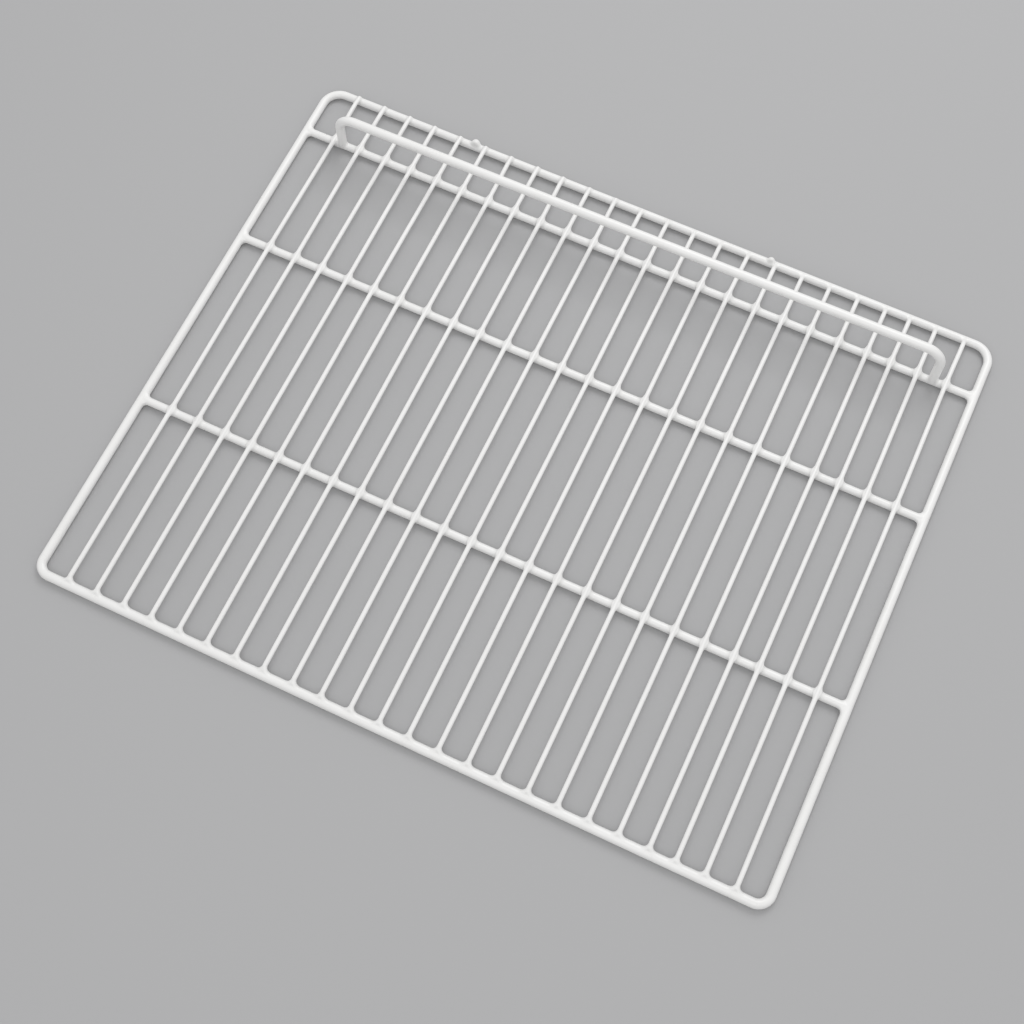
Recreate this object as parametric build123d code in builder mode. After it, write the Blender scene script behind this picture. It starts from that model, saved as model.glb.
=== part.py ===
from build123d import *
import os

# A plastic-coated wire shelf for a refrigerator. Millimetres, +Z up, front at -Y.
# The origin is on the surface that the shelf lies on, under the middle of its frame.
# All wire diameters include the coat.

# Outer frame
FRAME_WIDTH = 650.0
FRAME_DEPTH = 530.0
FRAME_WIRE = 8.0
FRONT_CORNER_RADIUS = 11.0
BACK_CORNER_RADIUS = 16.0

# Cross rods, each placed by its axis
ROD_WIRE = 7.2
FRONT_ROD_FROM_FRONT_RAIL = 172.7
MIDDLE_ROD_FROM_FRONT_RAIL = 349.0
REAR_ROD_FROM_BACK_RAIL = 49.0

# Deck wires: an even row from the left, then three gaps that the jig left narrower
DECK_WIRE = 4.1
EVEN_DECK_WIRES = 21
FIRST_WIRE_FROM_LEFT_RAIL = 29.6
CLOSING_GAPS = (22.1, 23.9, 25.7)
LAST_WIRE_FROM_RIGHT_RAIL = 26.1
DECK_WIRE_PAST_RAIL_AXIS = 1.6

# Stop bar: an inverted U on the rear rod, its right end leaning back a little
BAR_WIRE = 8.4
BAR_LEFT_LEG_FROM_FIRST_WIRE = 8.0
BAR_RIGHT_LEG_FROM_LAST_WIRE = 11.9
BAR_HEIGHT_OVER_ROD = 43.0
BAR_BEND_RADIUS = 16.0
BAR_RIGHT_END_LEAN = 3.0

# How deep the welds press one wire into the next
DECK_SET_DOWN = 0.6
ROD_SET_DOWN = 1.0
FOOT_SET_DOWN = 2.0

frame_radius = FRAME_WIRE / 2
rod_radius = ROD_WIRE / 2
deck_radius = DECK_WIRE / 2
bar_radius = BAR_WIRE / 2

# Axes of the four rails
rail_x = FRAME_WIDTH / 2 - frame_radius
rail_y = FRAME_DEPTH / 2 - frame_radius
rail_z = frame_radius

# The rods' tops are level with the frame's top, so that the deck lies flat on both
deck_seat_z = FRAME_WIRE
rod_z = deck_seat_z - rod_radius
rod_places = {
    "front_cross_rod": FRONT_ROD_FROM_FRONT_RAIL - rail_y,
    "middle_cross_rod": MIDDLE_ROD_FROM_FRONT_RAIL - rail_y,
    "rear_cross_rod": rail_y - REAR_ROD_FROM_BACK_RAIL,
}
rear_rod_y = rod_places["rear_cross_rod"]

deck_z = deck_seat_z + deck_radius - DECK_SET_DOWN
first_wire_x = FIRST_WIRE_FROM_LEFT_RAIL - rail_x
last_wire_x = rail_x - LAST_WIRE_FROM_RIGHT_RAIL
deck_pitch = (last_wire_x - first_wire_x - sum(CLOSING_GAPS)) / (EVEN_DECK_WIRES - 1)
deck_places = [first_wire_x + deck_pitch * n for n in range(EVEN_DECK_WIRES)]
for gap in CLOSING_GAPS:
    deck_places.append(deck_places[-1] + gap)

os.makedirs("parts", exist_ok=True)

# Outer frame: one loop of wire, swept around its rounded corners
with BuildPart() as outer_frame:
    with BuildLine(Plane.XY.offset(rail_z)) as frame_path:
        FilletPolyline(
            (rail_x, -rail_y),
            (rail_x, rail_y),
            (-rail_x, rail_y),
            (-rail_x, -rail_y),
            radius=[FRONT_CORNER_RADIUS, BACK_CORNER_RADIUS, BACK_CORNER_RADIUS, FRONT_CORNER_RADIUS],
            close=True,
        )
    with BuildSketch(Plane(origin=frame_path.line @ 0, z_dir=frame_path.line % 0)):
        Circle(frame_radius)
    sweep(path=frame_path.line)
outer_frame.part.label = "outer_frame"
export_step(outer_frame.part, "parts/outer_frame.step")


# Cross rod: runs from side rail to side rail, each end coped to the rail that it is butt-welded to
def cross_rod(name, place_y):
    half_length = rail_x - frame_radius + ROD_SET_DOWN
    with BuildPart() as rod:
        with BuildSketch(Plane.YZ.offset(-half_length)):
            with Locations((place_y, rod_z)):
                Circle(rod_radius)
        extrude(amount=2 * half_length)
        with Locations((-rail_x, place_y, rail_z), (rail_x, place_y, rail_z)):
            Cylinder(frame_radius, 2 * ROD_WIRE, rotation=(90, 0, 0), mode=Mode.SUBTRACT)
    rod.part.label = name
    export_step(rod.part, f"parts/{name}.step")


for rod_name, rod_y in rod_places.items():
    cross_rod(rod_name, rod_y)

# Stop bar: two legs, two bends and the bar, its feet saddled over the rear rod
with BuildPart() as back_stop_bar:
    foot_z = deck_seat_z - FOOT_SET_DOWN
    bar_z = rod_z + BAR_HEIGHT_OVER_ROD
    left_leg_x = first_wire_x + BAR_LEFT_LEG_FROM_FIRST_WIRE
    right_leg_x = last_wire_x - BAR_RIGHT_LEG_FROM_LAST_WIRE
    with BuildLine() as bar_path:
        FilletPolyline(
            (left_leg_x, rear_rod_y, foot_z),
            (left_leg_x, rear_rod_y, bar_z),
            (right_leg_x, rear_rod_y + BAR_RIGHT_END_LEAN, bar_z),
            (right_leg_x, rear_rod_y, foot_z),
            radius=BAR_BEND_RADIUS,
        )
    with BuildSketch(Plane(origin=bar_path.line @ 0, z_dir=bar_path.line % 0)):
        Circle(bar_radius)
    sweep(path=bar_path.line)
    with Locations((left_leg_x, rear_rod_y, rod_z), (right_leg_x, rear_rod_y, rod_z)):
        Cylinder(rod_radius, 2 * BAR_WIRE, rotation=(0, 90, 0), mode=Mode.SUBTRACT)
back_stop_bar.part.label = "back_stop_bar"
export_step(back_stop_bar.part, "parts/back_stop_bar.step")


# Deck wire: straight, flattened into a saddle wherever it crosses a rail or a rod
def deck_wire(name, place_x):
    half_length = rail_y + DECK_WIRE_PAST_RAIL_AXIS
    with BuildPart() as wire:
        with BuildSketch(Plane.XZ.offset(-half_length)):
            with Locations((place_x, deck_z)):
                Circle(deck_radius)
        extrude(amount=2 * half_length)
        with Locations((place_x, -rail_y, rail_z), (place_x, rail_y, rail_z)):
            Cylinder(frame_radius, 2 * DECK_WIRE, rotation=(0, 90, 0), mode=Mode.SUBTRACT)
        with Locations([(place_x, crossing_y, rod_z) for crossing_y in rod_places.values()]):
            Cylinder(rod_radius, 2 * DECK_WIRE, rotation=(0, 90, 0), mode=Mode.SUBTRACT)
    wire.part.label = name
    export_step(wire.part, f"parts/{name}.step")


for number, wire_x in enumerate(deck_places, start=1):
    deck_wire(f"deck_wire_{number:02d}", wire_x)
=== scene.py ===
# %% [markdown]
# # A coated wire shelf for a refrigerator
# The real shelf is welded from straight steel wire and then dipped in hot white plastic. The solids that we
# load here are the bare lay-out: where each wire runs and how thick it is. What makes such a shelf look
# real is the coat. It rounds off every cut end, it pulls itself into soft webs in the corners of the welds,
# and it is a little thicker at the edge that hung lowest while it dripped off.

# %% Load the solids
import bpy
import math
import random
from mathutils import Matrix, Vector


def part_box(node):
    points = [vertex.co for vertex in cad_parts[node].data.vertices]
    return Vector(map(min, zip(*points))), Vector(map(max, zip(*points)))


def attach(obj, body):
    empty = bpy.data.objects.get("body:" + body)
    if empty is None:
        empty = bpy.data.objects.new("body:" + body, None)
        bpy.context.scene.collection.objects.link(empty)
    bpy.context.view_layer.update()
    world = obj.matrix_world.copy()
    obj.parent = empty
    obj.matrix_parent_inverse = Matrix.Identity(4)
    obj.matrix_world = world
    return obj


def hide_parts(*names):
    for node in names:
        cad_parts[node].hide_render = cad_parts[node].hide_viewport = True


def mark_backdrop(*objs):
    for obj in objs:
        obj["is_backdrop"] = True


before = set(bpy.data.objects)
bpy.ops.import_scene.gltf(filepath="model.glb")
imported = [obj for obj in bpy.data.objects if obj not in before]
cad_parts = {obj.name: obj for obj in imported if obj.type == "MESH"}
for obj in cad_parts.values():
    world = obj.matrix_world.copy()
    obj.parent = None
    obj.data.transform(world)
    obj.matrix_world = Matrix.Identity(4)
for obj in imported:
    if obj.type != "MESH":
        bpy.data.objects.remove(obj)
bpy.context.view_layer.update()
MM = 0.001

# %% [markdown]
# ## Where the wires run
# Each solid's box tells us where its axis lies, so no place has to be typed in twice. A straight wire's
# axis is the middle of its box. The frame and the stop bar are bent, so for them we also need their bend
# radii and how far the bar leans back, which a box can't tell.

# %% Read the axes from the solids
FRONT_BEND = 11.0 * MM
BACK_BEND = 16.0 * MM
BAR_BEND = 16.0 * MM
BAR_LEAN = 3.0 * MM

rod_names = ["front_cross_rod", "middle_cross_rod", "rear_cross_rod"]
deck_names = sorted(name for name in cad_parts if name.startswith("deck_wire"))


def middle(node):
    low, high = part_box(node)
    return (low + high) / 2


def half_size(node):
    low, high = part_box(node)
    return (high - low) / 2


frame_half = half_size("outer_frame")
frame_radius = frame_half.z
rod_radius = half_size(rod_names[0]).z
deck_radius = half_size(deck_names[0]).x
bar_radius = half_size("back_stop_bar").y - BAR_LEAN / 2
rod_y = {name: middle(name).y for name in rod_names}
rod_z = middle(rod_names[0]).z
deck_x = {name: middle(name).x for name in deck_names}
deck_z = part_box(deck_names[0])[1].z - deck_radius
print("radii in mm:", [round(r / MM, 2) for r in (frame_radius, rod_radius, deck_radius, bar_radius)])

# %% [markdown]
# ## How thick the coat is
# The shelf hung by its back rail while the plastic was still hot, so the coat crept towards the front rail.
# A front and a back factor on each wire's radius give that drift. The frame shows it most. Its axis is
# moved in by what the thick end gains, so that its outer size stays that of the solid.

# %% Coat factors
FRAME_COAT = (1.04, 0.92)
ROD_COAT = (1.00, 0.97)
DECK_COAT = (1.02, 0.98)
COAT_SLACK = 0.1 * MM


def coated(radius, y, factors):
    """The radius of a wire at depth y, between its front and its back factor."""
    back_share = (y + frame_half.y) / (2 * frame_half.y)
    return radius * (factors[0] + (factors[1] - factors[0]) * back_share)


frame_front_radius = frame_radius * FRAME_COAT[0]
rail_x = frame_half.x - frame_front_radius
front_rail_y = frame_front_radius + COAT_SLACK - frame_half.y
back_rail_y = frame_half.y - frame_radius
rail_z = frame_front_radius
frame_back_radius = coated(frame_radius, back_rail_y, FRAME_COAT)
print("front and back rail in mm:", [round(2 * r / MM, 2) for r in (frame_front_radius, frame_back_radius)])

# %% [markdown]
# ## Rings where they are needed
# Each wire becomes a tube: a row of rings along its axis. The webs at the welds need rings half a
# millimetre apart, and the plain stretches between them need only a few. So the rings are packed around
# every crossing, as far as the webs reach, and thin out away from it.

# %% Ring stations along a run
FINE_STEP = 0.5 * MM
STEP_GROWTH = 1.07
PLAIN_STEP = 7.0 * MM
LEAST_STEP = 0.22 * MM


def stations(start, end, crossings, reach):
    """Places along a run from start to end, close together within reach of each crossing."""
    places = [start, end]
    for crossing in crossings:
        offset = 0.0
        step = FINE_STEP
        while offset < reach:
            places += [crossing - offset, crossing + offset]
            offset += step
            step *= STEP_GROWTH
    places = sorted(place for place in places if start <= place <= end)
    kept = [places[0]]
    for place in places[1:]:
        gap = place - kept[-1]
        if gap < LEAST_STEP:
            continue
        parts = math.ceil(gap / PLAIN_STEP)
        last = kept[-1]
        kept += [last + gap * (n + 1) / parts for n in range(parts)]
    kept[-1] = end
    return kept


WEB = 5.0 * MM
sample = stations(front_rail_y, back_rail_y, rod_y.values(), rod_radius + WEB)
print("rings on one deck wire between the rails:", len(sample))

# %% [markdown]
# ## The axes
# An axis is a list of points with a radius at each. The deck wires were laid in a jig by hand, so each one
# strays sideways by a few tenths of a millimetre. A fixed seed makes that the same in every run. Most of
# their cut ends lie under so much plastic that they hardly show, so there the axis dips into the rail. On
# the left half of the back rail the wires were pushed further in, and their ends show as small bumps: there
# the axis is a little longer and stays up. It stops one radius short, because the coated end is round.

# %% Deck wire axes
JIG_SEED = 24
STRAY = 0.35 * MM
END_DIP = 3.3 * MM
DIP_LENGTH = 8.0 * MM
PROUD_DIP = 0.9 * MM
PROUD_LENGTH = 0.7 * MM
PROUD_SPAN = 240.0 * MM
jig = random.Random(JIG_SEED)


def eased(share):
    """A smooth rise from 0 to 1."""
    return (1 - math.cos(math.pi * min(1.0, max(0.0, share)))) / 2


def deck_axis(name):
    low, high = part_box(name)
    crossings = [front_rail_y] + sorted(rod_y.values()) + [back_rail_y]
    stray = [jig.uniform(-STRAY, STRAY) for _ in crossings]
    sunk = eased(deck_x[name] / PROUD_SPAN + 0.5)
    back_dip = PROUD_DIP + (END_DIP - PROUD_DIP) * sunk
    front_end = low.y + deck_radius
    back_end = high.y - deck_radius + PROUD_LENGTH * (1 - sunk)
    points, radii = [], []
    for y in stations(front_end, back_end, crossings, rod_radius + WEB):
        span = sum(1 for crossing in crossings[1:-1] if y > crossing)
        share = (y - crossings[span]) / (crossings[span + 1] - crossings[span])
        x = deck_x[name] + stray[span] + (stray[span + 1] - stray[span]) * eased(share)
        dip = END_DIP * eased(1 - (y - front_end) / DIP_LENGTH)
        dip += back_dip * eased(1 - (back_end - y) / DIP_LENGTH)
        points.append(Vector((x, y, deck_z - dip)))
        radii.append(coated(deck_radius, y, DECK_COAT))
    return points, radii


deck_axes = {name: deck_axis(name) for name in deck_names}
print("deck axes:", len(deck_axes), "points each:", len(deck_axes[deck_names[0]][0]))

# %% [markdown]
# The cross rods are straight and end in the side rails. They need close rings under every deck wire, and the
# rear one also under the two legs of the stop bar.

# %% Cross rod axes
bar_low, bar_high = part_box("back_stop_bar")
leg_x = [bar_low.x + bar_radius, bar_high.x - bar_radius]
rear_y = rod_y["rear_cross_rod"]


def rod_axis(name):
    low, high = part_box(name)
    crossings = list(deck_x.values()) + [low.x, high.x]
    if name == "rear_cross_rod":
        crossings += leg_x
    row = stations(low.x, high.x, crossings, deck_radius + WEB)
    points = [Vector((x, rod_y[name], rod_z)) for x in row]
    return points, [coated(rod_radius, rod_y[name], ROD_COAT)] * len(points)


rod_axes = {name: rod_axis(name) for name in rod_names}
print("points on each rod:", [len(axis[0]) for axis in rod_axes.values()])

# %% [markdown]
# The frame is a closed loop and the stop bar an open one. Both are runs joined by arcs, so one helper makes
# the arc at a corner, and the runs are filled with stations in between.

# %% Frame and stop bar axes
BEND_STEPS = 14
HOOK_X = (-173.0 * MM, 115.0 * MM)


def bend(before, corner, after, radius):
    """Points of the arc that rounds a corner between two runs."""
    back = (before - corner).normalized()
    ahead = (after - corner).normalized()
    turn = math.pi - back.angle(ahead)
    centre = corner + (back + ahead).normalized() * radius / math.cos(turn / 2)
    first = corner + back * radius * math.tan(turn / 2) - centre
    axle = back.cross(first)
    angles = [turn * n / BEND_STEPS for n in range(BEND_STEPS + 1)]
    return [centre + Matrix.Rotation(angle, 3, axle) @ first for angle in angles]


def run(start, end, crossings, reach):
    """Points strictly between start and end, packed around crossings given as points near the run."""
    along = (end - start).normalized()
    length = (end - start).length
    near = [(crossing - start).dot(along) for crossing in crossings]
    return [start + along * place for place in stations(0.0, length, near, reach)[1:-1]]


def frame_axis():
    corners = [
        Vector((-rail_x, front_rail_y, rail_z)),
        Vector((rail_x, front_rail_y, rail_z)),
        Vector((rail_x, back_rail_y, rail_z)),
        Vector((-rail_x, back_rail_y, rail_z)),
    ]
    bends = (FRONT_BEND, FRONT_BEND, BACK_BEND, BACK_BEND)
    arcs = [bend(corners[n - 1], corners[n], corners[(n + 1) % 4], bends[n]) for n in range(4)]
    deck_feet = [Vector((x, 0, 0)) for x in deck_x.values()]
    rod_feet = [Vector((0, y, 0)) for y in rod_y.values()]
    hook_feet = [Vector((x, 0, 0)) for x in HOOK_X]
    feet = (deck_feet, rod_feet, deck_feet + hook_feet, rod_feet)
    reaches = (deck_radius + WEB, rod_radius + WEB, deck_radius + WEB, rod_radius + WEB)
    points = []
    for n in range(4):
        points += arcs[n] + run(arcs[n][-1], arcs[(n + 1) % 4][0], feet[n], reaches[n])
    return points, [coated(frame_radius, point.y, FRAME_COAT) for point in points]


def bar_axis():
    foot_z, bar_z = bar_low.z, bar_high.z - bar_radius
    left_foot = Vector((leg_x[0], rear_y, foot_z))
    left_top = Vector((leg_x[0], rear_y, bar_z))
    right_top = Vector((leg_x[1], rear_y + BAR_LEAN, bar_z))
    right_foot = Vector((leg_x[1], rear_y, foot_z))
    left_bend = bend(left_foot, left_top, right_top, BAR_BEND)
    right_bend = bend(left_top, right_top, right_foot, BAR_BEND)
    points = [left_foot] + run(left_foot, left_bend[0], [left_foot], rod_radius + WEB) + left_bend
    points += run(left_bend[-1], right_bend[0], [], 0.0) + right_bend
    points += run(right_bend[-1], right_foot, [right_foot], rod_radius + WEB) + [right_foot]
    return points, [bar_radius] * len(points)


frame_points = frame_axis()
bar_points = bar_axis()
print("points on the frame:", len(frame_points[0]), "on the bar:", len(bar_points[0]))

# %% [markdown]
# While the shelf dripped, two hooks held it by the back rail. Each left a small lump of plastic where the
# hook was pulled off. A sphere would look stuck on, so a lump is a low arch of thick wire on top of the
# rail, with both its ends inside it, and the coat will blend it in.

# %% Hook mark axes
HOOK_RISE = (math.radians(78), math.radians(74))
HOOK_HEIGHT = (6.2 * MM, 4.8 * MM)
HOOK_REACH = (4.5 * MM, 3.6 * MM)
HOOK_RADIUS = (2.6 * MM, 2.2 * MM)
HOOK_SUNK = 0.3 * MM
HOOK_STEPS = 16


def hook_axis(number):
    """A low arch along the rail, which ends inside it."""
    out = Vector((0.0, math.cos(HOOK_RISE[number]), math.sin(HOOK_RISE[number])))
    points = []
    for step in range(HOOK_STEPS + 1):
        share = 2 * step / HOOK_STEPS - 1
        height = HOOK_SUNK + (HOOK_HEIGHT[number] - HOOK_SUNK) * eased(1 - abs(share))
        foot = Vector((HOOK_X[number] + share * HOOK_REACH[number], back_rail_y, rail_z))
        points.append(foot + out * height)
    return points, [HOOK_RADIUS[number]] * len(points)


hook_axes = {"hook_mark_left": hook_axis(0), "hook_mark_right": hook_axis(1)}
print("hook marks at x in mm:", [round(x / MM) for x in HOOK_X])

# %% [markdown]
# ## Axes as edge meshes
# Geometry Nodes can measure the distance from any point to a mesh of edges. So each axis becomes such a
# mesh, with its radius stored on it: on its points for the tube that follows it, and on its edges, so that
# a point nearby can tell how far it is from the wire's surface. Four of these meshes hold all axes of a
# kind, and together they describe the whole shelf.

# %% Edge meshes
def axis_object(name, axes, closed=False):
    """One object of edges for several axes, each a pair of points and radii."""
    places, edges, point_radii, edge_radii = [], [], [], []
    for points, radii in axes:
        first = len(places)
        places += [tuple(point) for point in points]
        point_radii += radii
        pairs = [(n, n + 1) for n in range(len(points) - 1)]
        if closed:
            pairs.append((len(points) - 1, 0))
        edges += [(first + a, first + b) for a, b in pairs]
        edge_radii += [(radii[a] + radii[b]) / 2 for a, b in pairs]
    mesh = bpy.data.meshes.new(name)
    mesh.from_pydata(places, edges, [])
    mesh.attributes.new("coat_radius", "FLOAT", "POINT").data.foreach_set("value", point_radii)
    mesh.attributes.new("wire_radius", "FLOAT", "EDGE").data.foreach_set("value", edge_radii)
    body = bpy.data.objects.new(name, mesh)
    bpy.context.scene.collection.objects.link(body)
    return body


fields = {
    "Frame": axis_object("frame_field", [frame_points], closed=True),
    "Rods": axis_object("rod_field", list(rod_axes.values()) + list(hook_axes.values())),
    "Deck": axis_object("deck_field", list(deck_axes.values())),
    "Bar": axis_object("bar_field", [bar_points]),
}
print("edges in each field:", {name: len(body.data.edges) for name, body in fields.items()})

# %% [markdown]
# ## Writing node trees as sums
# Node trees are easier to read as formulas. The class below wraps one socket, and plus, minus, times and
# divide on it add Math nodes. Every other node comes from `Bench.node`, which takes the node's type, then
# its settings, then what goes into its sockets.

# %% Sockets that do sums
class Socket:
    """One output socket of a tree, with arithmetic."""

    def __init__(self, bench, link):
        self.bench = bench
        self.link = link

    def math(self, operation, *others):
        values = {n: value for n, value in enumerate((self,) + others)}
        return self.bench.node("ShaderNodeMath", {"operation": operation}, values)["Value"]

    def reflected(self, operation, other):
        return self.bench.node("ShaderNodeMath", {"operation": operation}, {0: other, 1: self})["Value"]

    def __add__(self, other):
        return self.math("ADD", other)

    def __sub__(self, other):
        return self.math("SUBTRACT", other)

    def __mul__(self, other):
        return self.math("MULTIPLY", other)

    def __truediv__(self, other):
        return self.math("DIVIDE", other)

    def __rsub__(self, other):
        return self.reflected("SUBTRACT", other)

    def __rtruediv__(self, other):
        return self.reflected("DIVIDE", other)

    __radd__ = __add__
    __rmul__ = __mul__

    def clamped(self):
        return self.math("MAXIMUM", 0.0).math("MINIMUM", 1.0)

    def least(self, other):
        return self.math("MINIMUM", other)

    def most(self, other):
        return self.math("MAXIMUM", other)


class Bench:
    """A node tree that nodes are added to."""

    def __init__(self, tree):
        self.tree = tree

    def node(self, kind, settings=None, sockets=None):
        made = self.tree.nodes.new(kind)
        for name, value in (settings or {}).items():
            setattr(made, name, value)
        for key, value in (sockets or {}).items():
            self.fill(made, key, value)
        return {out.name: Socket(self, out) for out in reversed(made.outputs) if out.enabled}

    def fill(self, made, key, value):
        if isinstance(key, int):
            target = made.inputs[key]
        else:
            target = next(one for one in made.inputs if one.name == key and one.enabled)
        if isinstance(value, Socket):
            self.tree.links.new(value.link, target)
        else:
            target.default_value = value

    def vector(self, operation, *values):
        sockets = {n: value for n, value in enumerate(values)}
        return self.node("ShaderNodeVectorMath", {"operation": operation}, sockets)["Vector"]

    def length(self, vector):
        return self.node("ShaderNodeVectorMath", {"operation": "LENGTH"}, {0: vector})["Value"]

    def scaled(self, vector, factor):
        sockets = {0: vector, "Scale": factor}
        return self.node("ShaderNodeVectorMath", {"operation": "SCALE"}, sockets)["Vector"]

    def mixed(self, share, first, second):
        """first where share is 0, second where it is 1, for vectors."""
        sockets = {"Factor": share, "A": first, "B": second}
        return self.node("ShaderNodeMix", {"data_type": "VECTOR"}, sockets)["Result"]

    def stored(self, name, kind="FLOAT"):
        settings = {"data_type": kind}
        return self.node("GeometryNodeInputNamedAttribute", settings, {"Name": name})["Attribute"]

    def keep(self, geometry, name, value, kind="FLOAT"):
        """The geometry with a value stored on its points."""
        settings = {"data_type": kind, "domain": "POINT"}
        sockets = {"Geometry": geometry, "Name": name, "Value": value}
        return self.node("GeometryNodeStoreNamedAttribute", settings, sockets)["Geometry"]


print("methods of the bench:", [name for name in vars(Bench) if not name.startswith("_")])

# %% [markdown]
# ## One skin over all wires
# Dipped plastic pulls itself round in every corner. A good model of that is the rounded union of distances:
# take the distances to two surfaces, and where both are smaller than the web's radius, measure from the
# web's own round instead. Joined one after the other, the four fields give one skin over the whole shelf.
# Voxel remeshing would make webs too, but it needs far more faces for the same smoothness. First the tree
# gets its inputs: the axis to coat, the four fields, and the sizes of the webs and waves.

# %% Inputs of the coat tree
KINDS = ("Frame", "Rods", "Deck", "Bar")
COAT_SIZES = (
    "Web", "Back web", "Foot web", "Leg web", "Drained from", "Drained to", "Wave height", "Wave length",
)
COAT_INPUTS = {"Axis": "NodeSocketGeometry", "Sides": "NodeSocketInt", "Seed": "NodeSocketInt"}
COAT_INPUTS.update({name: "NodeSocketObject" for name in KINDS})
COAT_INPUTS.update({name: "NodeSocketFloat" for name in COAT_SIZES})
COAT_INPUTS["Coat"] = "NodeSocketMaterial"


def tree_with_inputs():
    """An empty tree with its named inputs, and the key of each."""
    tree = bpy.data.node_groups.new("coated_wire", "GeometryNodeTree")
    keys = {}
    for name, kind in COAT_INPUTS.items():
        keys[name] = tree.interface.new_socket(name, in_out="INPUT", socket_type=kind).identifier
    tree.interface.new_socket("Coated wire", in_out="OUTPUT", socket_type="NodeSocketGeometry")
    return tree, keys


coat_nodes, coat_keys = tree_with_inputs()
print("inputs of the tree:", list(coat_keys))

# %% [markdown]
# The distance to the skin is written once, as a class, because it is needed at many places. A web shrinks
# where two surfaces face the same way, so that the coat fills hollow corners and adds no humps. It also
# shrinks towards the back rail, where the shelf hung and the coat drained off. Slow noise makes the skin
# wavy. It mostly lowers the skin, so that the shelf doesn't grow past its solids.

# %% Distance to the skin
FLAT_CORNER, FULL_CORNER = 0.9, 0.2
LEAST_WEB = 0.1 * MM
WAVE_CREST = 0.8


class Skin:
    """The skin of the coat: how far a place is from it, and which way leads away from it."""

    def __init__(self, bench):
        self.bench = bench
        self.given = bench.node("NodeGroupInput")
        self.place = bench.node("GeometryNodeInputPosition")["Position"]
        self.parts = bench.node("ShaderNodeSeparateXYZ", {}, {"Vector": self.place})
        self.web = bench.node("ShaderNodeMapRange", {"interpolation_type": "SMOOTHSTEP"}, {
            "Value": self.parts["Y"],
            "From Min": self.given["Drained from"], "From Max": self.given["Drained to"],
            "To Min": self.given["Web"], "To Max": self.given["Back web"]})["Result"]
        self.foot_web = self.web.least(self.given["Foot web"])
        self.edges = {}
        self.radii = {}
        for name in KINDS:
            self.edges[name] = self.field(name)
            self.radii[name] = self.nearest_radius(self.edges[name])

    def field(self, name):
        settings = {"transform_space": "ORIGINAL"}
        return self.bench.node("GeometryNodeObjectInfo", settings, {"Object": self.given[name]})["Geometry"]

    def nearest_radius(self, edges):
        """The radius of the wire whose edge is nearest."""
        bench = self.bench
        nearest = bench.node("GeometryNodeSampleNearest", {"domain": "EDGE"}, {"Geometry": edges})["Index"]
        return bench.node("GeometryNodeSampleIndex", {"data_type": "FLOAT", "domain": "EDGE"}, {
            "Geometry": edges, "Value": bench.stored("wire_radius"), "Index": nearest})["Value"]

    def from_wires(self, name, spot):
        """Distance to the surface of the nearest wire of a kind, and the direction away from it."""
        hit = self.bench.node("GeometryNodeProximity", {"target_element": "EDGES"}, {
            "Geometry": self.edges[name], "Sample Position": spot})
        offset = self.bench.vector("SUBTRACT", spot, hit["Position"])
        return hit["Distance"] - self.radii[name], self.bench.vector("NORMALIZE", offset)

    def nearness(self, distance):
        """A small pull that falls off fast, so that the nearer of two far wires gives the direction."""
        return (LEAST_WEB / distance.most(LEAST_WEB)).math("POWER", 4.0) * LEAST_WEB

    def rounded_union(self, first, second, radius):
        likeness = self.bench.node("ShaderNodeVectorMath", {"operation": "DOT_PRODUCT"}, {
            0: first[1], 1: second[1]})["Value"]
        hollow = self.bench.node("ShaderNodeMapRange", {"interpolation_type": "SMOOTHSTEP"}, {
            "Value": likeness, "From Min": FLAT_CORNER, "From Max": FULL_CORNER})["Result"]
        reach = (radius * hollow).most(LEAST_WEB)
        near_first = (reach - first[0]).most(0.0)
        near_second = (reach - second[0]).most(0.0)
        length = (near_first * near_first + near_second * near_second).math("SQRT")
        distance = first[0].least(second[0]).most(reach) - length
        pull_first = near_first + self.nearness(first[0])
        pull_second = near_second + self.nearness(second[0])
        share = pull_second / (pull_first + pull_second)
        return distance, self.bench.mixed(share, first[1], second[1])

    def at(self, spot):
        """Distance from a spot to the skin, and the direction away from it."""
        frame_side, rods, deck, bar = [self.from_wires(name, spot) for name in KINDS]
        body = self.rounded_union(frame_side, rods, self.foot_web)
        body = self.rounded_union(body, deck, self.web)
        distance, away = self.rounded_union(body, bar, self.given["Leg web"])
        noise = self.bench.node("ShaderNodeTexNoise", {"noise_dimensions": "4D"}, {
            "Vector": spot, "W": self.given["Seed"], "Scale": 1.0 / self.given["Wave length"],
            "Detail": 1.0})["Fac"]
        return distance - (noise - WAVE_CREST) * 2.0 * self.given["Wave height"], away


skin = Skin(Bench(coat_nodes))
print("fields in the skin:", list(skin.edges))

# %% [markdown]
# ## From tube to skin
# Each wire is still a tube of its own, swept along its axis. Its points are pushed onto the common skin, a
# bit at a time, in a Repeat zone, so tubes that meet end up on the same skin. Points that start deep inside
# another wire never show, so they stay where they are.

# %% Tubes and pushes
SUNK_START, SUNK_END = -2.2 * MM, -1.2 * MM
PUSHES = 14
LEAST_GRIP = 0.35


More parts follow.
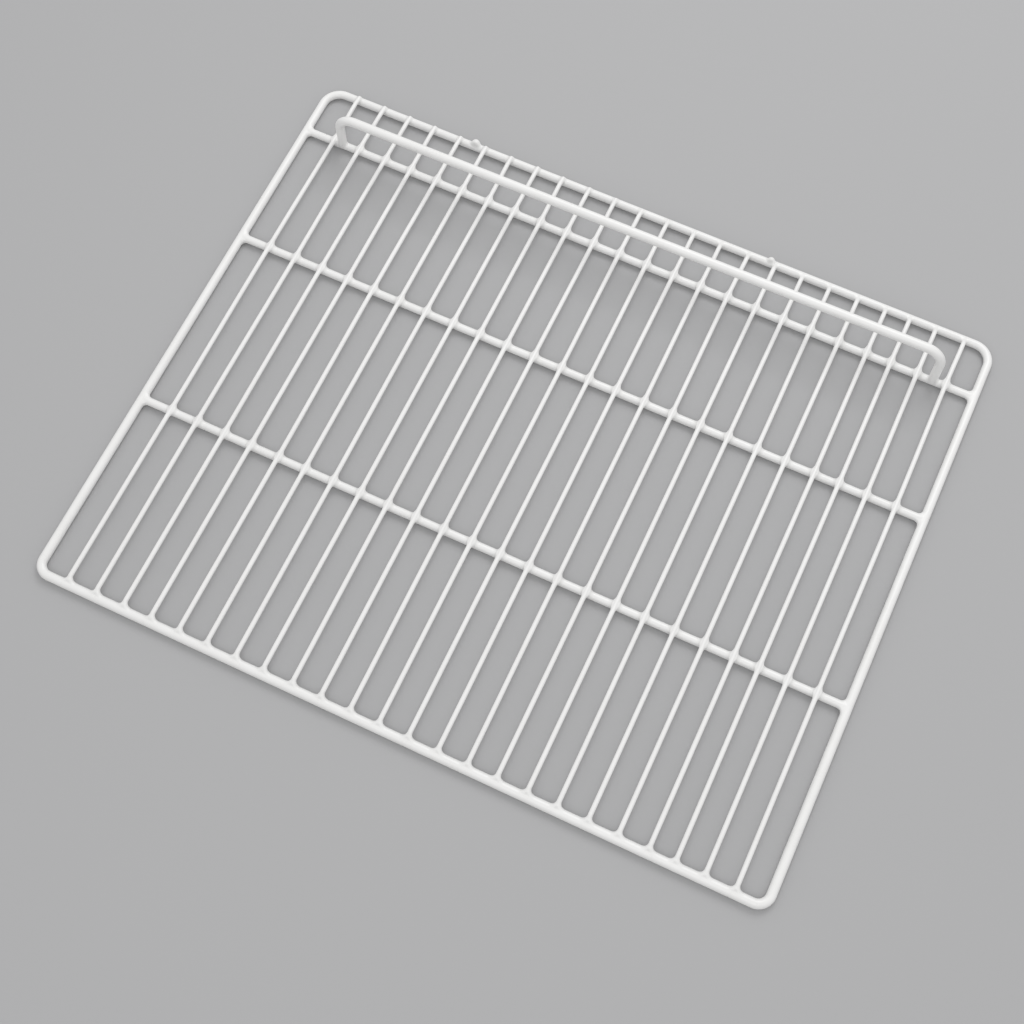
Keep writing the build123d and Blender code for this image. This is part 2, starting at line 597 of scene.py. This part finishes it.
def tube_on_axis():
    """A tube whose points remember where they started and how free they are to move."""
    bench = skin.bench
    ring = bench.node("GeometryNodeCurvePrimitiveCircle", {"mode": "RADIUS"}, {
        "Resolution": skin.given["Sides"], "Radius": 1.0})["Curve"]
    path = bench.node("GeometryNodeMeshToCurve", {}, {"Mesh": skin.given["Axis"]})["Curve"]
    tube = bench.node("GeometryNodeCurveToMesh", {}, {
        "Curve": path, "Profile Curve": ring, "Scale": bench.stored("coat_radius"),
        "Fill Caps": True})["Mesh"]
    depths = [skin.from_wires(name, skin.place)[0] for name in KINDS]
    sunk = depths[0].least(depths[1]).least(depths[2]).least(depths[3])
    tube = bench.keep(tube, "free", ((sunk - SUNK_START) / (SUNK_END - SUNK_START)).clamped())
    return bench.keep(tube, "start", skin.place, "FLOAT_VECTOR")


def pushed_out(tube):
    """The tube with its free points pushed onto the skin."""
    bench = skin.bench
    start = bench.tree.nodes.new("GeometryNodeRepeatInput")
    stop = bench.tree.nodes.new("GeometryNodeRepeatOutput")
    start.pair_with_output(stop)
    start.inputs["Iterations"].default_value = PUSHES
    bench.tree.links.new(tube.link, start.inputs["Geometry"])
    depth, away = skin.at(skin.place)
    grip = bench.length(away).most(LEAST_GRIP)
    push = bench.scaled(away, depth * bench.stored("free") / grip * -1.0)
    moved = bench.node("GeometryNodeSetPosition", {}, {
        "Geometry": Socket(bench, start.outputs["Geometry"]), "Offset": push})["Geometry"]
    bench.tree.links.new(moved.link, stop.inputs["Geometry"])
    return Socket(bench, stop.outputs["Geometry"])


coat_mesh = pushed_out(tube_on_axis())
print("nodes so far:", len(coat_nodes.nodes))

# %% [markdown]
# Both tubes that meet at a weld cover its web. Points that were pushed far are tucked a little under the
# skin, so that the edge of one tube hides under the next one. The faces of a web are stretched unevenly,
# and smooth shading from the faces alone would show that. So the normals come from the skin itself: four
# feelers around a point tell which way the distance grows.

# %% Tucked edges and normals
TUCK, TUCK_START, TUCK_END = 0.13 * MM, 0.5 * MM, 2.4 * MM
LEAST_HEIGHT = 0.02 * MM
FEELER = 0.15 * MM
FEELER_CORNERS = ((1, -1, -1), (-1, -1, 1), (-1, 1, -1), (1, 1, 1))


def tucked(mesh):
    """The mesh with its far edges under the skin, and nothing below the floor."""
    bench = skin.bench
    travel = bench.length(bench.vector("SUBTRACT", skin.place, bench.stored("start", "FLOAT_VECTOR")))
    tuck = ((travel - TUCK_START) / (TUCK_END - TUCK_START)).clamped() * TUCK
    away = bench.vector("NORMALIZE", skin.at(skin.place)[1])
    inward = bench.scaled(away, tuck * -1.0)
    mesh = bench.node("GeometryNodeSetPosition", {}, {"Geometry": mesh, "Offset": inward})["Geometry"]
    lifted = bench.node("ShaderNodeCombineXYZ", {}, {
        "X": skin.parts["X"], "Y": skin.parts["Y"], "Z": skin.parts["Z"].most(LEAST_HEIGHT)})["Vector"]
    return bench.node("GeometryNodeSetPosition", {}, {"Geometry": mesh, "Position": lifted})["Geometry"]


def felt_normal():
    slope = (0.0, 0.0, 0.0)
    for corner in FEELER_CORNERS:
        spot = skin.bench.vector("ADD", skin.place, [FEELER * side for side in corner])
        slope = skin.bench.vector("ADD", slope, skin.bench.scaled(corner, skin.at(spot)[0]))
    return skin.bench.vector("NORMALIZE", slope)


def finished(mesh):
    bench = skin.bench
    mesh = bench.node("GeometryNodeSetShadeSmooth", {}, {"Geometry": mesh})["Geometry"]
    mesh = bench.node("GeometryNodeSetMeshNormal", {"mode": "FREE", "domain": "POINT"}, {
        "Mesh": mesh, "Custom Normal": felt_normal()})["Mesh"]
    mesh = bench.node("GeometryNodeRealizeInstances", {}, {"Geometry": mesh})["Geometry"]
    return bench.node("GeometryNodeSetMaterial", {}, {
        "Geometry": mesh, "Material": skin.given["Coat"]})["Geometry"]


skin.bench.node("NodeGroupOutput", {}, {"Coated wire": finished(tucked(coat_mesh))})
print("nodes in the tree:", len(coat_nodes.nodes))

# %% [markdown]
# ## The white coat
# The plastic is a clean, slightly warm white with a soft gloss. Close up it isn't perfect: it has the
# shallow orange peel of a melted powder, slow drifts in gloss where it flowed, and a few pimples. All of
# these come from noise on Object coordinates, so they run on from wire to wire without a seam.

# %% White coat material
PEEL_SIZE = 2.4 * MM
GRAIN_SIZE = 0.5 * MM
DRIFT_SIZE = 22.0 * MM
DRIFT_CONTRAST = 1.6
PIMPLE_SPACING = 9.0 * MM
PIMPLE_SHARPNESS = 12.0
PEEL_HEIGHT, GRAIN_HEIGHT, PIMPLE_HEIGHT = 0.8, 0.12, 0.9
BUMP_DEPTH = 0.05 * MM
BUMP_STRENGTH = 0.5
DULL_WHITE = (0.80, 0.795, 0.785, 1.0)
CLEAN_WHITE = (0.84, 0.838, 0.832, 1.0)
ROUGHNESS = 0.3
DRIFT_ROUGHNESS, PEEL_ROUGHNESS = 0.14, 0.08
COAT_IOR = 1.48


def white_coat():
    material = bpy.data.materials.new("white_coat")
    material.use_nodes = True
    tree = material.node_tree
    tree.nodes.clear()
    bench = Bench(tree)
    place = bench.node("ShaderNodeTexCoord")["Object"]

    def noise(size, detail):
        return bench.node("ShaderNodeTexNoise", {}, {
            "Vector": place, "Scale": 1.0 / size, "Detail": detail})["Fac"]

    drift = noise(DRIFT_SIZE, 2.0)
    peel = noise(PEEL_SIZE, 1.5)
    grain = noise(GRAIN_SIZE, 1.0)
    cells = bench.node("ShaderNodeTexVoronoi", {"feature": "F1"}, {
        "Vector": place, "Scale": 1.0 / PIMPLE_SPACING, "Randomness": 1.0})["Distance"]
    pimple = (1.0 - cells * PIMPLE_SHARPNESS).clamped()
    tint = bench.node("ShaderNodeMix", {"data_type": "RGBA"}, {
        "Factor": ((drift - 0.5) * DRIFT_CONTRAST + 0.5).clamped(),
        "A": DULL_WHITE, "B": CLEAN_WHITE})["Result"]
    height = peel * PEEL_HEIGHT + grain * GRAIN_HEIGHT + pimple * PIMPLE_HEIGHT
    bump = bench.node("ShaderNodeBump", {}, {
        "Height": height, "Strength": BUMP_STRENGTH, "Distance": BUMP_DEPTH})["Normal"]
    roughness = ROUGHNESS + (drift - 0.5) * DRIFT_ROUGHNESS + (peel - 0.5) * PEEL_ROUGHNESS
    shader = bench.node("ShaderNodeBsdfPrincipled", {}, {
        "Base Color": tint, "Roughness": roughness, "Normal": bump, "IOR": COAT_IOR})["BSDF"]
    bench.node("ShaderNodeOutputMaterial", {}, {"Surface": shader})
    return material


coat = white_coat()
print("material:", coat.name)

# %% [markdown]
# ## Coating each wire
# One helper puts the tree on an axis, evaluates it and keeps the plain mesh, which takes the place of its
# solid. The webs are largest at the deck wires, smaller where thick wires meet, and smallest on the back
# rail and around the legs of the stop bar, which would otherwise run into the next deck wire. Where a wire
# ends in the open, a few more rings round off its end first.

# %% Coating helpers
END_RINGS = 6
BACK_WEB = 2.5 * MM
FOOT_WEB = 4.0 * MM
LEG_WEB = 2.4 * MM
DRAINED_PAST_ROD = 12.0 * MM
DRAINED_BEFORE_RAIL = 6.0 * MM
WAVE_HEIGHT = 0.06 * MM
WAVE_LENGTH = 14.0 * MM
WAVE_SEED = 7


def rounded_ends(axis):
    """The axis with half-round ends added to it."""
    points, radii = axis
    caps = []
    for tip, inner, radius in ((points[0], points[1], radii[0]), (points[-1], points[-2], radii[-1])):
        out = (tip - inner).normalized()
        angles = [math.pi / 2 * (n + 1) / (END_RINGS + 0.5) for n in range(END_RINGS)]
        cap_points = [tip + out * radius * math.sin(angle) for angle in angles]
        caps.append((cap_points, [radius * math.cos(angle) for angle in angles]))
    (first_points, first_radii), (last_points, last_radii) = caps
    return first_points[::-1] + points + last_points, first_radii[::-1] + radii + last_radii


def coated_piece(name, axis, sides, closed=False):
    base = axis_object(name + "_axis", [axis], closed)
    modifier = base.modifiers.new("coat", "NODES")
    modifier.node_group = coat_nodes
    values = {
        "Sides": sides, "Web": WEB, "Back web": BACK_WEB, "Foot web": FOOT_WEB, "Leg web": LEG_WEB,
        "Drained from": rear_y + DRAINED_PAST_ROD, "Drained to": back_rail_y - DRAINED_BEFORE_RAIL,
        "Wave height": WAVE_HEIGHT, "Wave length": WAVE_LENGTH, "Seed": WAVE_SEED, "Coat": coat, **fields,
    }
    for key, value in values.items():
        modifier[coat_keys[key]] = value
    bpy.context.view_layer.update()
    depsgraph = bpy.context.evaluated_depsgraph_get()
    mesh = bpy.data.meshes.new_from_object(base.evaluated_get(depsgraph), depsgraph=depsgraph)
    mesh.name = name
    bpy.data.objects.remove(base)
    piece = bpy.data.objects.new(name, mesh)
    bpy.context.scene.collection.objects.link(piece)
    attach(piece, "root")
    return piece


print("webs in mm:", [round(web / MM, 1) for web in (WEB, FOOT_WEB, BACK_WEB, LEG_WEB)])

# %% [markdown]
# Now every wire gets its coat, and each coat takes the place of its solid. The hook marks are only plastic,
# so they replace nothing. The fields have done their work then, and are removed.

# %% Make the pieces
FRAME_SIDES, ROD_SIDES, DECK_SIDES = 28, 26, 22
pieces = {
    "outer_frame": coated_piece("frame_coat", frame_points, FRAME_SIDES, closed=True),
    "back_stop_bar": coated_piece("stop_bar_coat", bar_points, FRAME_SIDES),
}
for name in rod_names:
    pieces[name] = coated_piece(name + "_coat", rod_axes[name], ROD_SIDES)
for name in deck_names:
    pieces[name] = coated_piece(name + "_coat", rounded_ends(deck_axes[name]), DECK_SIDES)
for node, piece in pieces.items():
    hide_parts(node)
hook_marks = [coated_piece(name, rounded_ends(axis), DECK_SIDES) for name, axis in hook_axes.items()]
for body in fields.values():
    bpy.data.objects.remove(body)
triangles = []
for piece in list(pieces.values()) + hook_marks:
    triangles.append(sum(len(face.vertices) - 2 for face in piece.data.polygons))
print("pieces:", len(triangles), "triangles:", sum(triangles), "most:", max(triangles))

# %% [markdown]
# ## Floor
# A white thing on a white floor disappears, so the floor is a plain pale grey, dull enough not to mirror the
# wires. It is only the stage and not part of the shelf.

# %% Floor
FLOOR_SIZE = 12.0
FLOOR_GREY = (0.42, 0.42, 0.425, 1.0)
FLOOR_ROUGHNESS = 0.9
FLOOR_SHINE = 0.1


def pale_floor():
    material = bpy.data.materials.new("pale_floor")
    material.use_nodes = True
    material.node_tree.nodes.clear()
    bench = Bench(material.node_tree)
    shader = bench.node("ShaderNodeBsdfPrincipled", {}, {
        "Base Color": FLOOR_GREY, "Roughness": FLOOR_ROUGHNESS, "Specular IOR Level": FLOOR_SHINE})["BSDF"]
    bench.node("ShaderNodeOutputMaterial", {}, {"Surface": shader})
    half = FLOOR_SIZE / 2
    corners = [(-half, -half, 0), (half, -half, 0), (half, half, 0), (-half, half, 0)]
    mesh = bpy.data.meshes.new("floor")
    mesh.from_pydata(corners, [], [(0, 1, 2, 3)])
    mesh.materials.append(material)
    floor = bpy.data.objects.new("floor", mesh)
    bpy.context.scene.collection.objects.link(floor)
    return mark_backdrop(floor)


floor = pale_floor()
print("floor:", FLOOR_SIZE, "m wide")

# %% [markdown]
# ## Light
# An even white surround gives most of the light. The main lamp is a wide soft box above and behind the
# shelf: it puts the bright line along the far side of each wire that makes the wires look round. A weaker
# one above the front keeps their near sides from going grey.

# %% Light
SHELF_MIDDLE = Vector((0.0, 0.0, 0.0))
SURROUND_STRENGTH = 0.77


def soft_box(name, place, size, power):
    lamp = bpy.data.lights.new(name, "AREA")
    lamp.shape = "SQUARE"
    lamp.size = size
    lamp.energy = power
    body = bpy.data.objects.new(name, lamp)
    body.location = place
    body.rotation_euler = (SHELF_MIDDLE - Vector(place)).to_track_quat("-Z", "Y").to_euler()
    bpy.context.scene.collection.objects.link(body)
    return body


soft_boxes = [
    soft_box("back_soft_box", (0.0, 1.25, 1.7), size=1.1, power=13.0),
    soft_box("front_soft_box", (0.3, -1.3, 1.8), size=1.3, power=6.0),
]
world = bpy.data.worlds.new("studio")
world.use_nodes = True
surround = world.node_tree.nodes["Background"]
surround.inputs["Color"].default_value = (1.0, 1.0, 1.0, 1.0)
surround.inputs["Strength"].default_value = SURROUND_STRENGTH
bpy.context.scene.world = world
bpy.context.scene.view_settings.view_transform = "Standard"
print("lamps:", [box.name for box in soft_boxes])

# %% [markdown]
# ## Camera
# The photograph looks down on the shelf from the front right. The edges of its rails and wires are enough
# to work out where the camera stood, how long its lens was and that it was tilted by just under one degree.

# %% Camera
CAMERA_PLACE = Vector((238.7, -517.7, 1284.8)) * MM
CAMERA_AIM = Vector((8.8, -47.8, 0.0)) * MM
CAMERA_ROLL = math.radians(-0.94)
CAMERA_LENS = 58.67
SENSOR_WIDTH = 36.0

lens = bpy.data.cameras.new("camera")
lens.lens = CAMERA_LENS
lens.sensor_width = SENSOR_WIDTH
camera = bpy.data.objects.new("camera", lens)
aimed = (CAMERA_AIM - CAMERA_PLACE).to_track_quat("-Z", "Y").to_matrix()
rolled = aimed @ Matrix.Rotation(CAMERA_ROLL, 3, "Z")
camera.matrix_world = Matrix.Translation(CAMERA_PLACE) @ rolled.to_4x4()
bpy.context.scene.collection.objects.link(camera)
bpy.context.scene.camera = camera
print("camera height in mm:", round(CAMERA_PLACE.z / MM))

# %% [markdown]
# The coat may not make the shelf bigger than its solids.
